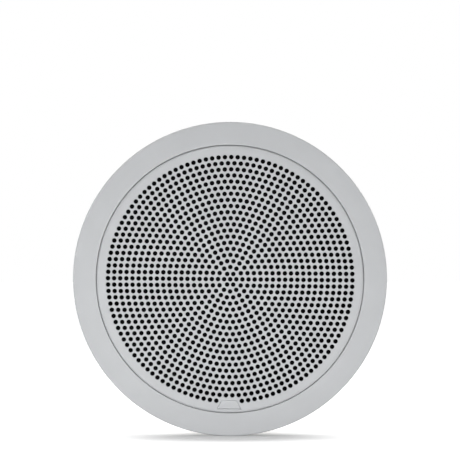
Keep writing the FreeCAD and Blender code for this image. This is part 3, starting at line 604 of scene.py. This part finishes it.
def seen_by_eye(tree, strength, otherwise=0.0):
    """A strength for rays that the camera, a mirror or glass sends, and another for the light itself."""
    path = tree.nodes.new("ShaderNodeLightPath")
    glossy = tree.nodes.new("ShaderNodeMath")
    glossy.operation = "MAXIMUM"
    tree.links.new(path.outputs["Is Camera Ray"], glossy.inputs[0])
    tree.links.new(path.outputs["Is Glossy Ray"], glossy.inputs[1])
    clear = tree.nodes.new("ShaderNodeMath")
    clear.operation = "MAXIMUM"
    tree.links.new(glossy.outputs["Value"], clear.inputs[0])
    tree.links.new(path.outputs["Is Transmission Ray"], clear.inputs[1])
    level = tree.nodes.new("ShaderNodeMapRange")
    level.inputs["To Min"].default_value = otherwise
    level.inputs["To Max"].default_value = strength
    tree.links.new(clear.outputs["Value"], level.inputs["Value"])
    return level.outputs["Result"]


def set_floor():
    """A wide white floor that keeps the speaker's contact shadow, darkened by a painted shadow in its glow.
    """
    bpy.ops.object.select_all(action="DESELECT")
    bpy.ops.mesh.primitive_plane_add(size=FLOOR_WIDTH, location=(0, PAINTED_SHADOW_DEPTH, FLOOR_HEIGHT))
    floor = bpy.context.object
    floor.name = "floor"
    material = bpy.data.materials.new("floor white")
    material.use_nodes = True
    tree = material.node_tree
    shader = tree.nodes["Principled BSDF"]
    shader.inputs["Base Color"].default_value = (0.86, 0.86, 0.86, 1)
    shader.inputs["Roughness"].default_value = 0.9
    # Its glow is weak where the speaker stands and its shadow falls, a painted shadow in an ellipse round
    # the speaker's foot, and grows from there
    glow = tree.nodes.new("ShaderNodeEmission")
    place = tree.nodes.new("ShaderNodeTexCoord").outputs["Object"]
    shadow = (1 / PAINTED_SHADOW_HALF_WIDTH, 1 / PAINTED_SHADOW_HALF_DEPTH, 0)
    glow_with_painted_shadow = grown_from_speaker(tree, place, shadow, (0.5, 1.5), (0.05, 0.5))
    far = grown_from_speaker(tree, place, (1, 1, 0), (0.1, 0.8), (0.0, 0.4))
    level = tree.nodes.new("ShaderNodeMath")
    tree.links.new(glow_with_painted_shadow, level.inputs[0])
    tree.links.new(far, level.inputs[1])
    tree.links.new(level.outputs["Value"], glow.inputs["Color"])
    tree.links.new(seen_by_eye(tree, 1.0), glow.inputs["Strength"])
    both = tree.nodes.new("ShaderNodeAddShader")
    tree.links.new(shader.outputs["BSDF"], both.inputs[0])
    tree.links.new(glow.outputs["Emission"], both.inputs[1])
    tree.links.new(both.outputs["Shader"], tree.nodes["Material Output"].inputs["Surface"])
    paint(floor, material)


def add_lamp(name, place, target, width, height, power):
    """A soft round lamp at a place, turned to a target."""
    data = bpy.data.lights.new(name, "AREA")
    data.shape = "ELLIPSE"
    data.size = width
    data.size_y = height
    data.energy = power
    lamp = bpy.data.objects.new(name, data)
    bpy.context.collection.objects.link(lamp)
    lamp.location = place
    aim = Vector(target) - Vector(place)
    lamp.rotation_euler = aim.to_track_quat("-Z", "Y").to_euler()


def set_light():
    """White surroundings and soft lamps: one low in front, one above, one behind and one on each side."""
    world = bpy.data.worlds.new("studio")
    world.use_nodes = True
    bpy.context.scene.world = world
    tree = world.node_tree
    background = tree.nodes["Background"]
    background.inputs["Color"].default_value = (1, 1, 1, 1)
    tree.links.new(seen_by_eye(tree, 1.0, 0.155), background.inputs["Strength"])
    add_lamp("low lamp", (-0.03, -0.42, -0.056), (0, 0, -0.05), 0.3, 0.06, 0.9)
    add_lamp("top lamp", (0, 0.25, 1.1), (0, 0.1, FLOOR_HEIGHT), 1.4, 1.4, 6.0)
    add_lamp("rear lamp", (-0.25, 0.8, 1.0), (0, 0.03, 0), 1.0, 1.0, 4.0)
    for side, way in (("left", -1), ("right", 1)):
        add_lamp(f"{side} side lamp", (way * 0.85, 0.2, 0.35), (0, 0.03, 0), 0.8, 0.8, 3.0)


# Grille with all its holes

def hole_places():
    """Centre hole, then rings of six, twelve and so on, less the three where the badge place is."""
    places = [(0, 0)]
    for ring in range(1, HOLE_RINGS + 1):
        for k in range(6 * ring):
            angle = math.radians(k * 60 / ring)
            if ring == HOLE_RINGS and abs(math.degrees(angle) - 270) < BADGE_CLEARING:
                continue
            places.append((ring * HOLE_PITCH * math.cos(angle), ring * HOLE_PITCH * math.sin(angle)))
    return places


def turned_by(x, z, angle):
    return x * math.cos(angle) - z * math.sin(angle), x * math.sin(angle) + z * math.cos(angle)


def on_face(place, lean=0.0):
    """Where a place in the hole pattern comes to lie, on a face that leans by an angle."""
    x, z = turned_by(*place, PATTERN_TURN)
    return turned_by(x + PATTERN_SHIFT[0], z + PATTERN_SHIFT[1], lean)


def quarter_turn(steps):
    """Angles from nothing to a quarter turn."""
    return [math.pi / 2 * k / steps for k in range(steps + 1)]


def badge_outline(spare):
    """Plain recess below the last ring of holes: wider at the bottom, with rounded top corners."""
    points = [(BADGE_HALF_BOTTOM + spare, -BADGE_HALF_HEIGHT - spare)]
    for turn in quarter_turn(BADGE_CORNER_STEPS):
        points.append((BADGE_HALF_TOP - BADGE_CORNER + (BADGE_CORNER + spare) * math.cos(turn),
                       BADGE_HALF_HEIGHT - BADGE_CORNER + (BADGE_CORNER + spare) * math.sin(turn)))
    return [(x, z - BADGE_DROP) for x, z in points + [(-x, z) for x, z in reversed(points)]]


def perforated_face():
    """Flat face with round holes and the badge place, cut through and softened at the front."""
    bpy.ops.object.select_all(action="DESELECT")
    quarter = (math.pi / 2, 0, 0)
    bpy.ops.mesh.primitive_circle_add(vertices=RIM_SIDES, radius=RIM_START, rotation=quarter,
                                      location=(0, GRILLE_FRONT, 0))
    face = bpy.context.object
    set_place(face)
    open_mesh(face)
    for place in hole_places():
        x, z = on_face(place, PATTERN_LEAN)
        bpy.ops.mesh.primitive_circle_add(vertices=HOLE_SIDES, radius=HOLE_RADIUS, rotation=quarter,
                                          location=(x, GRILLE_FRONT, z))
    outline = badge_outline(0)
    bpy.ops.mesh.primitive_circle_add(vertices=len(outline))
    badge = [vertex for vertex in bmesh.from_edit_mesh(face.data).verts if vertex.select]
    for vertex, place in zip(badge, outline):
        x, z = on_face(place, PATTERN_LEAN)
        vertex.co = (x, GRILLE_FRONT, z)
    bpy.ops.mesh.select_all(action="SELECT")
    bpy.ops.mesh.fill(use_beauty=False)
    for vertex in bmesh.from_edit_mesh(face.data).verts:
        vertex.co.x, vertex.co.z = turned_by(vertex.co.x, vertex.co.z, -PATTERN_LEAN)
    bmesh.update_edit_mesh(face.data)
    bpy.ops.mesh.extrude_region_move(TRANSFORM_OT_translate={"value": (0, GRILLE_THICKNESS, 0)})
    bpy.ops.mesh.select_all(action="SELECT")
    bpy.ops.mesh.normals_make_consistent(inside=False)

    def off_axis(vertex):
        return math.hypot(vertex.co.x, vertex.co.z)

    def in_front(vertex):
        return abs(vertex.co.y - GRILLE_FRONT) < SEAM and off_axis(vertex) < RIM_START - 10 * SEAM

    pick_edges(face, lambda edge: edge.calc_face_angle(0) > 1 and all(in_front(v) for v in edge.verts))
    bpy.ops.mesh.bevel(offset=HOLE_EDGE, segments=1, affect="EDGES")
    pick_faces(face, lambda part: all(off_axis(v) > RIM_START - 10 * SEAM for v in part.verts)
               and abs(part.normal.y) < 0.1)
    bpy.ops.mesh.delete(type="FACE")
    bpy.ops.object.mode_set(mode="OBJECT")
    return face


def rounded_rim():
    """Rounded edge of the grille, as an open ring that closes the face's edge."""
    across = GRILLE_RADIUS - RIM_START
    outline = []
    for turn in quarter_turn(RIM_STEPS):
        outline.append((RIM_START + across * math.sin(turn),
                        GRILLE_FRONT + RIM_DEPTH * (1 - math.cos(turn))))
    outline += [(GRILLE_RADIUS, GRILLE_BACK), (RIM_START, GRILLE_BACK)]
    return spun_ring("rim", outline, RIM_SIDES, closed=False)


def badge_tray():
    """Bare tray with sloping sides in the badge place."""
    places = [on_face(place) for place in badge_outline(-TRAY_GAP)]
    tray = drawn_outline([(x, TRAY_FRONT, z) for x, z in places])
    open_mesh(tray)
    bpy.ops.mesh.edge_face_add()
    bpy.ops.mesh.extrude_region_move(TRANSFORM_OT_translate={"value": (0, TRAY_THICKNESS, 0)})
    bpy.ops.mesh.select_all(action="SELECT")
    bpy.ops.mesh.normals_make_consistent(inside=False)
    pick_faces(tray, lambda part: part.normal.y < -0.9)
    bpy.ops.mesh.inset(thickness=TRAY_SLOPE, depth=-TRAY_DEPTH)
    bpy.ops.object.mode_set(mode="OBJECT")
    return tray


def grille_hook():
    """Snap hook behind the skirt, at the angle 0, with its barb pointing outwards."""
    bpy.ops.object.select_all(action="DESELECT")
    bpy.ops.mesh.primitive_cube_add(size=1)
    hook = bpy.context.object
    hook.scale = (HOOK_THICKNESS, HOOK_REAR - LEDGE_DEPTH, HOOK_WIDTH)
    hook.location = (SKIRT_INNER + HOOK_THICKNESS / 2, (HOOK_REAR + LEDGE_DEPTH) / 2, 0)
    set_place(hook)
    open_mesh(hook)
    bpy.ops.mesh.bisect(plane_co=(0, BARB_FRONT, 0), plane_no=(0, 1, 0))
    pick_faces(hook, lambda face: face.normal.x > 0.9 and face.calc_center_median().y > WEB_REAR)
    bpy.ops.mesh.extrude_region_move(TRANSFORM_OT_translate={"value": (BARB_REACH, 0, 0)})
    outside = SKIRT_INNER + HOOK_THICKNESS
    mesh = bmesh.from_edit_mesh(hook.data)
    for vertex in mesh.verts:
        if vertex.co.x > outside + BARB_REACH / 2 and vertex.co.y > (BARB_FRONT + HOOK_REAR) / 2:
            vertex.co.x = outside
    bmesh.update_edit_mesh(hook.data)
    bpy.ops.mesh.select_all(action="SELECT")
    bpy.ops.mesh.remove_doubles(threshold=SEAM)
    face_outwards()
    return hook


def grille_hooks():
    """One hook, copied round the grille."""
    pattern = grille_hook()
    hooks = []
    for angle in HOOK_ANGLES:
        hook = copy_of(pattern, "hook")
        hook.rotation_euler = (0, -math.radians(angle), 0)
        set_place(hook)
        hooks.append(hook)
    bpy.data.objects.remove(pattern)
    return hooks


def make_grille():
    """Face and rim as one shell, with the skirt, the tray and the hooks set into it."""
    face = join([perforated_face(), rounded_rim()], "grille_all_holes")
    open_mesh(face)
    bpy.ops.mesh.remove_doubles(threshold=2 * SEAM)
    face_outwards()
    skirt = spun_ring("skirt", [(SKIRT_INNER, SKIRT_FRONT), (SKIRT_OUTER, SKIRT_FRONT),
                                (SKIRT_OUTER, LEDGE_DEPTH), (SKIRT_INNER, LEDGE_DEPTH)], RIM_SIDES)
    hooks = grille_hooks()
    grille = join([face, skirt, badge_tray()] + hooks, "grille_all_holes")
    shade_smooth(grille, 32)
    dress(grille, "grille")


def make_scrim():
    """Woven cloth disc, stretched flat across the back of the grille."""
    scrim = smooth_copy("scrim")
    dress(scrim, "scrim")


# Clamp screws with cut threads

def threaded_shank():
    """One turn of thread, repeated along the shank and cut square at both ends."""
    length = THREAD_REAR - THREAD_FRONT
    run_in = 1.3 * THREAD_PITCH
    profile = [(THREAD_ROOT, 0), (THREAD_ROOT, 0.00012), (THREAD_CREST, 0.00032), (THREAD_CREST, 0.0005),
               (THREAD_ROOT, THREAD_PITCH)]
    shank = drawn_outline([(radius, 0, along) for radius, along in profile], closed=False)
    screw = shank.modifiers.new("thread", "SCREW")
    screw.axis = "Z"
    screw.screw_offset = THREAD_PITCH
    screw.iterations = int(length / THREAD_PITCH) + 3
    screw.steps = THREAD_SIDES
    screw.render_steps = THREAD_SIDES
    screw.use_merge_vertices = True
    screw.merge_threshold = SEAM
    bpy.ops.object.modifier_apply(modifier=screw.name)
    open_mesh(shank)
    bpy.ops.mesh.remove_doubles(threshold=SEAM)
    for place, side in ((run_in, "clear_inner"), (run_in + length, "clear_outer")):
        bpy.ops.mesh.select_all(action="SELECT")
        bpy.ops.mesh.bisect(plane_co=(0, 0, place), plane_no=(0, 0, 1), use_fill=True, threshold=SEAM / 10,
                            **{side: True})
    face_outwards()
    shank.rotation_euler = (-math.pi / 2, 0, 0)
    shank.location = (0, THREAD_FRONT - run_in, 0)
    set_place(shank)
    return shank


def cut_copy(node, depth, side):
    """A copy of a screw, cut square across at a depth, with one side of the cut cleared."""
    piece = smooth_copy(node, 30)
    open_mesh(piece)
    bpy.ops.mesh.bisect(plane_co=(0, depth, 0), plane_no=(0, 1, 0), use_fill=True, **{side: True})
    bpy.ops.object.mode_set(mode="OBJECT")
    return piece


def make_clamp_screws():
    """Heads and tips from the solids, with a threaded shank between."""
    pattern = threaded_shank()
    for number, angle in enumerate(CLAMP_ANGLES, 1):
        node = f"clamp_screw_{number}"
        head = cut_copy(node, CLAMP_HEAD_REAR, "clear_outer")
        shank = copy_of(pattern, "shank")
        turn = math.radians(angle)
        shank.location = (CLAMP_CIRCLE * math.cos(turn), 0, CLAMP_CIRCLE * math.sin(turn))
        set_place(shank)
        tip = cut_copy(node, CLAMP_TIP_FRONT, "clear_inner")
        screw = join([head, shank, tip], f"clamp_screw_{number}_threaded")
        dress(screw, node)
    bpy.data.objects.remove(pattern)


# Magnet and its plates

def make_motor():
    """Top plate, magnet and yoke, turned rounder than their solids, with their edges broken."""
    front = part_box("top_plate")[0][1]
    plate, plate_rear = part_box("top_plate")[1][:2]
    rim, magnet_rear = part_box("magnet")[1][:2]
    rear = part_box("pole_yoke")[1][1]
    outlines = {
        "top_plate": [(PLATE_BORE, front), (plate - MOTOR_EDGE, front), (plate, front + MOTOR_EDGE),
                      (plate, plate_rear), (PLATE_BORE, plate_rear)],
        "magnet": [(MAGNET_BORE, plate_rear), (rim - MOTOR_EDGE, plate_rear), (rim, plate_rear + MOTOR_EDGE),
                   (rim, magnet_rear - MOTOR_EDGE), (rim - MOTOR_EDGE, magnet_rear),
                   (MAGNET_BORE, magnet_rear)],
        "pole_yoke": [(0, front), (POLE_RADIUS - MOTOR_EDGE, front), (POLE_RADIUS, front + MOTOR_EDGE),
                      (POLE_RADIUS, magnet_rear), (plate, magnet_rear), (plate, rear - MOTOR_EDGE),
                      (plate - MOTOR_EDGE, rear), (0, rear)],
    }
    for node, outline in outlines.items():
        piece = spun_ring(f"{node}_turned", outline, MOTOR_SIDES, closed=node != "pole_yoke")
        shade_smooth(piece, 30)
        dress(piece, node)


# Solder joints

def solder_fillet():
    """A fillet of solder drawn up round a wire, one unit in radius, standing on the speaker axis."""
    outline = [(0, 0), (1, 0), (0.74, 0.2), (0.56, 0.45), (0.46, 0.75), (0.36, 0.95), (0, 1.05)]
    fillet = spun_ring("solder", outline, SOLDER_SIDES, closed=False)
    shade_smooth(fillet, 50)
    paint(fillet, solder_finish)
    return fillet


def make_solder_joints():
    """One fillet, copied at its size to each tag and each end of the tinsel there."""
    pattern = solder_fillet()
    for number, (tag, tinsel) in enumerate(zip(TAG_PLACES, TINSEL_PLACES), 1):
        for end, place, radius in (("tag", tag, TAG_SOLDER_RADIUS),
                                   ("tinsel", tinsel, TINSEL_SOLDER_RADIUS)):
            joint = copy_of(pattern, f"{end}_solder_{number}")
            joint.scale = (radius, radius, radius)
            joint.location = place
            set_place(joint)
            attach(joint, "frame")
    bpy.data.objects.remove(pattern)


# Flexing pieces

def radial_blend(piece, inner, outer):
    """Puts the piece's place into its mesh and works out each point's share of the way from the inner to the
    outer edge, which nothing uses.
    """
    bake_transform(piece)
    for vertex in piece.data.vertices:
        share = (math.hypot(vertex.co.x, vertex.co.z) - inner) / (outer - inner)
        share = min(1.0, max(0.0, share))


def make_flexing_pieces():
    """Surround, spider and tinsel leads, each with one end on the cone."""
    for node, angle, flex in (("surround", 60, SURROUND_FLEX), ("spider", 80, SPIDER_FLEX)):
        piece = smooth_copy(node, angle)
        stands_for(piece, node)
        radial_blend(piece, *flex)
    for number in (1, 2):
        node = f"tinsel_lead_{number}"
        lead = smooth_copy(node, 60)
        stands_for(lead, node)
        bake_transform(lead)


set_camera()
set_floor()
set_light()
make_grille()
make_scrim()
make_clamp_screws()
make_motor()
make_flexing_pieces()
make_solder_joints()

# The other pieces keep the shape of their solids
made = {"grille", "scrim", "top_plate", "magnet", "pole_yoke", "surround", "spider"}
made |= {f"tinsel_lead_{number}" for number in (1, 2)}
made |= {f"clamp_screw_{number}" for number in (1, 2, 3)}
for node in sorted(slot_of):
    if node not in made:
        dress(smooth_copy(node), node)

bpy.context.scene.view_settings.view_transform = "Standard"
